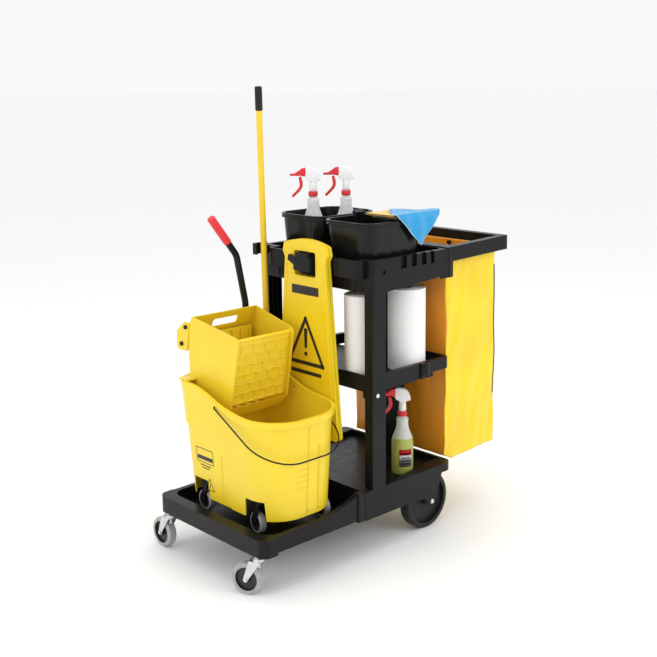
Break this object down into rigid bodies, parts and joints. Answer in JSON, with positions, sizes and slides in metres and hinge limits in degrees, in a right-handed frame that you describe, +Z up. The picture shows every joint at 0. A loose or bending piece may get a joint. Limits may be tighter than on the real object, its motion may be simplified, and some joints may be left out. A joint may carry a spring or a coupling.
{
  "type": "housekeeping cart",
  "caption": "Wheeled housekeeping cart with a low bucket platform, shelf, top tray and hanging waste bag, carrying a mop bucket with side press wringer, floor sign and pails.",
  "frame": {"origin": "on the floor, midway along the cart's nominal 1168 mm length, on the mid-plane of its width", "axes": "+X from the bucket platform towards the waste bag, +Y across the cart away from the bottle side, +Z up"},
  "size_m": [1.1915, 0.6025, 1.5322],
  "materials": {
    "black_plastic": "satin moulded",
    "black_wheel": "satin moulded",
    "zinc_steel": "zinc plated",
    "grey_tyre": "satin",
    "yellow_vinyl": "coated vinyl",
    "yellow_plastic": "moulded",
    "black_metal": "satin",
    "red_plastic": "moulded",
    "white_plastic": "moulded",
    "bottle_plastic": "translucent",
    "paper": "matt embossed",
    "cloth_yellow": "microfibre",
    "cloth_blue": "microfibre"
  },
  "bodies": {
    "root": {"front_platform": "black_plastic", "rear_deck": "black_plastic", "near_post": "black_plastic", "far_post": "black_plastic", "rear_column": "black_plastic", "middle_shelf": "black_plastic", "top_tray": "black_plastic", "near_tray_wall": "black_plastic", "far_tray_wall": "black_plastic", "bag_frame": "black_plastic", "waste_bag": "yellow_vinyl", "bag_pegs": "black_plastic", "mop_holder": "black_plastic", "sign_hook": "black_plastic", "post_bolts": "zinc_steel", "rear_axle": "zinc_steel", "axle_nuts": "zinc_steel", "caster_plates": "zinc_steel"},
    "near_caster": {"near_caster_fork": "zinc_steel"},
    "far_caster": {"far_caster_fork": "zinc_steel"},
    "near_caster_roller": {"near_caster_wheel": "grey_tyre"},
    "far_caster_roller": {"far_caster_wheel": "grey_tyre"},
    "near_wheel": {"near_rear_wheel": "black_wheel"},
    "far_wheel": {"far_rear_wheel": "black_wheel"},
    "bucket": {"bucket_shell": "yellow_plastic", "bucket_base": "yellow_plastic"},
    "bail": {"bucket_bail": "black_metal"},
    "wringer": {"wringer_basket": "yellow_plastic", "wringer_front": "yellow_plastic", "wringer_pins": "black_metal"},
    "press": {"press_plate": "yellow_plastic"},
    "lever": {"wringer_lever": "black_metal", "lever_grip": "red_plastic"},
    "mop": {"mop_handle": "yellow_plastic", "mop_grip": "black_plastic"},
    "sign": {"sign_front_leaf": "yellow_plastic"},
    "sign_leaf": {"sign_rear_leaf": "yellow_plastic"},
    "near_pail_body": {"near_pail": "black_plastic", "cloth_stack": "cloth_yellow", "blue_cloth": "cloth_blue"},
    "far_pail_body": {"far_pail": "black_plastic"},
    "near_roll": {"near_paper_roll": "paper"},
    "front_roll": {"front_paper_roll": "paper"},
    "bucket_caster_1": {"bucket_fork_1": "black_plastic"},
    "bucket_roller_1": {"bucket_wheel_1": "grey_tyre"},
    "bucket_caster_2": {"bucket_fork_2": "black_plastic"},
    "bucket_roller_2": {"bucket_wheel_2": "grey_tyre"},
    "bucket_caster_3": {"bucket_fork_3": "black_plastic"},
    "bucket_roller_3": {"bucket_wheel_3": "grey_tyre"},
    "bucket_caster_4": {"bucket_fork_4": "black_plastic"},
    "bucket_roller_4": {"bucket_wheel_4": "grey_tyre"},
    "left_bottle_body": {"left_bottle": "bottle_plastic", "left_bottle_sprayer": "white_plastic"},
    "left_bottle_lever": {"left_bottle_trigger": "red_plastic"},
    "right_bottle_body": {"right_bottle": "bottle_plastic", "right_bottle_sprayer": "white_plastic"},
    "right_bottle_lever": {"right_bottle_trigger": "red_plastic"},
    "deck_bottle_body": {"deck_bottle": "bottle_plastic", "deck_bottle_sprayer": "white_plastic"},
    "deck_bottle_lever": {"deck_bottle_trigger": "red_plastic"}
  },
  "joints": [
    {"name": "near_caster_swivel", "type": "hinge", "parent": "root", "child": "near_caster", "pos_m": [-0.568, -0.234, 0.118], "axis": [0, 0, 1], "continuous": true},
    {"name": "near_caster_roll", "type": "hinge", "parent": "near_caster", "child": "near_caster_roller", "pos_m": [-0.58285, -0.19902, 0.051], "axis": [0.9205, 0.3907, 0], "continuous": true},
    {"name": "far_caster_swivel", "type": "hinge", "parent": "root", "child": "far_caster", "pos_m": [-0.568, 0.234, 0.118], "axis": [0, 0, 1], "continuous": true},
    {"name": "far_caster_roll", "type": "hinge", "parent": "far_caster", "child": "far_caster_roller", "pos_m": [-0.568, 0.272, 0.051], "axis": [1, 0, 0], "continuous": true},
    {"name": "near_wheel_roll", "type": "hinge", "parent": "root", "child": "near_wheel", "pos_m": [0.176, -0.235, 0.1015], "axis": [0, 1, 0], "continuous": true},
    {"name": "far_wheel_roll", "type": "hinge", "parent": "root", "child": "far_wheel", "pos_m": [0.176, 0.235, 0.1015], "axis": [0, 1, 0], "continuous": true},
    {"name": "bucket_lift", "type": "slide", "parent": "root", "child": "bucket", "axis": [0, 0, 1], "range_m": [0, 0.15]},
    {"name": "wringer_lift", "type": "slide", "parent": "bucket", "child": "wringer", "axis": [0, 0, 1], "range_m": [0, 0.25]},
    {"name": "lever_pull", "type": "hinge", "parent": "wringer", "child": "lever", "pos_m": [-0.362, 0.228, 0.7], "axis": [-1, 0, 0], "range_deg": [0, 70]},
    {"name": "press_travel", "type": "slide", "parent": "wringer", "child": "press", "axis": [0, -1, 0], "range_m": [0, 0.1]},
    {"name": "bail_swing", "type": "hinge", "parent": "bucket", "child": "bail", "pos_m": [-0.366, 0.009, 0.538], "axis": [-1, 0, 0], "range_deg": [0, 95]},
    {"name": "mop_lift", "type": "slide", "parent": "root", "child": "mop", "axis": [0, 0.0208, 0.9998], "range_m": [0, 0.6]},
    {"name": "sign_lift", "type": "slide", "parent": "root", "child": "sign", "axis": [0, 0, 1], "range_m": [0, 0.015]},
    {"name": "sign_leaf_swing", "type": "hinge", "parent": "sign", "child": "sign_leaf", "pos_m": [-0.168, -0.025, 1.005], "axis": [0, -1, 0], "range_deg": [0, 2]},
    {"name": "near_pail_lift", "type": "slide", "parent": "root", "child": "near_pail_body", "axis": [0, 0, 1], "range_m": [0, 0.3]},
    {"name": "far_pail_lift", "type": "slide", "parent": "root", "child": "far_pail_body", "axis": [0, 0, 1], "range_m": [0, 0.3]},
    {"name": "left_bottle_lift", "type": "slide", "parent": "far_pail_body", "child": "left_bottle_body", "axis": [0, 0, 1], "range_m": [0, 0.25]},
    {"name": "left_bottle_trigger_pull", "type": "hinge", "parent": "left_bottle_body", "child": "left_bottle_lever", "pos_m": [-0.04192, 0.14829, 1.2243], "axis": [-0.6884, -0.7254, 0], "range_deg": [0, 18], "stiffness_Nm_per_rad": 0.3},
    {"name": "right_bottle_lift", "type": "slide", "parent": "far_pail_body", "child": "right_bottle_body", "axis": [0, 0, 1], "range_m": [0, 0.25]},
    {"name": "right_bottle_trigger_pull", "type": "hinge", "parent": "right_bottle_body", "child": "right_bottle_lever", "pos_m": [0.06608, 0.09629, 1.2243], "axis": [-0.6884, -0.7254, 0], "range_deg": [0, 18], "stiffness_Nm_per_rad": 0.3},
    {"name": "deck_bottle_lift", "type": "slide", "parent": "root", "child": "deck_bottle_body", "axis": [0, 0, 1], "range_m": [0, 0.03]},
    {"name": "deck_bottle_trigger_pull", "type": "hinge", "parent": "deck_bottle_body", "child": "deck_bottle_lever", "pos_m": [0.08108, -0.16171, 0.4773], "axis": [-0.6884, -0.7254, 0], "range_deg": [0, 18], "stiffness_Nm_per_rad": 0.3},
    {"name": "near_roll_lift", "type": "slide", "parent": "root", "child": "near_roll", "axis": [0, 0, 1], "range_m": [0, 0.06]},
    {"name": "front_roll_lift", "type": "slide", "parent": "root", "child": "front_roll", "axis": [0, 0, 1], "range_m": [0, 0.06]},
    {"name": "bucket_caster_1_swivel", "type": "hinge", "parent": "bucket", "child": "bucket_caster_1", "pos_m": [-0.478, 0.13, 0.254], "axis": [0, 0, 1], "continuous": true},
    {"name": "bucket_caster_1_roll", "type": "hinge", "parent": "bucket_caster_1", "child": "bucket_roller_1", "pos_m": [-0.47737, 0.14799, 0.1753], "axis": [0.9994, -0.0349, 0], "continuous": true},
    {"name": "bucket_caster_2_swivel", "type": "hinge", "parent": "bucket", "child": "bucket_caster_2", "pos_m": [-0.478, -0.138, 0.254], "axis": [0, 0, 1], "continuous": true},
    {"name": "bucket_caster_2_roll", "type": "hinge", "parent": "bucket_caster_2", "child": "bucket_roller_2", "pos_m": [-0.4755, -0.12018, 0.1753], "axis": [0.9903, -0.1392, 0], "continuous": true},
    {"name": "bucket_caster_3_swivel", "type": "hinge", "parent": "bucket", "child": "bucket_caster_3", "pos_m": [-0.242, -0.15, 0.254], "axis": [0, 0, 1], "continuous": true},
    {"name": "bucket_caster_3_roll", "type": "hinge", "parent": "bucket_caster_3", "child": "bucket_roller_3", "pos_m": [-0.24451, -0.16783, 0.1753], "axis": [-0.9903, 0.1392, 0], "continuous": true},
    {"name": "bucket_caster_4_swivel", "type": "hinge", "parent": "bucket", "child": "bucket_caster_4", "pos_m": [-0.242, 0.13, 0.254], "axis": [0, 0, 1], "continuous": true},
    {"name": "bucket_caster_4_roll", "type": "hinge", "parent": "bucket_caster_4", "child": "bucket_roller_4", "pos_m": [-0.23887, 0.14773, 0.1753], "axis": [0.9848, -0.1736, 0], "continuous": true}
  ],
  "couplings": [
    {"joint": "press_travel", "follows": "lever_pull", "m_per_rad": 0.0818}
  ]
}
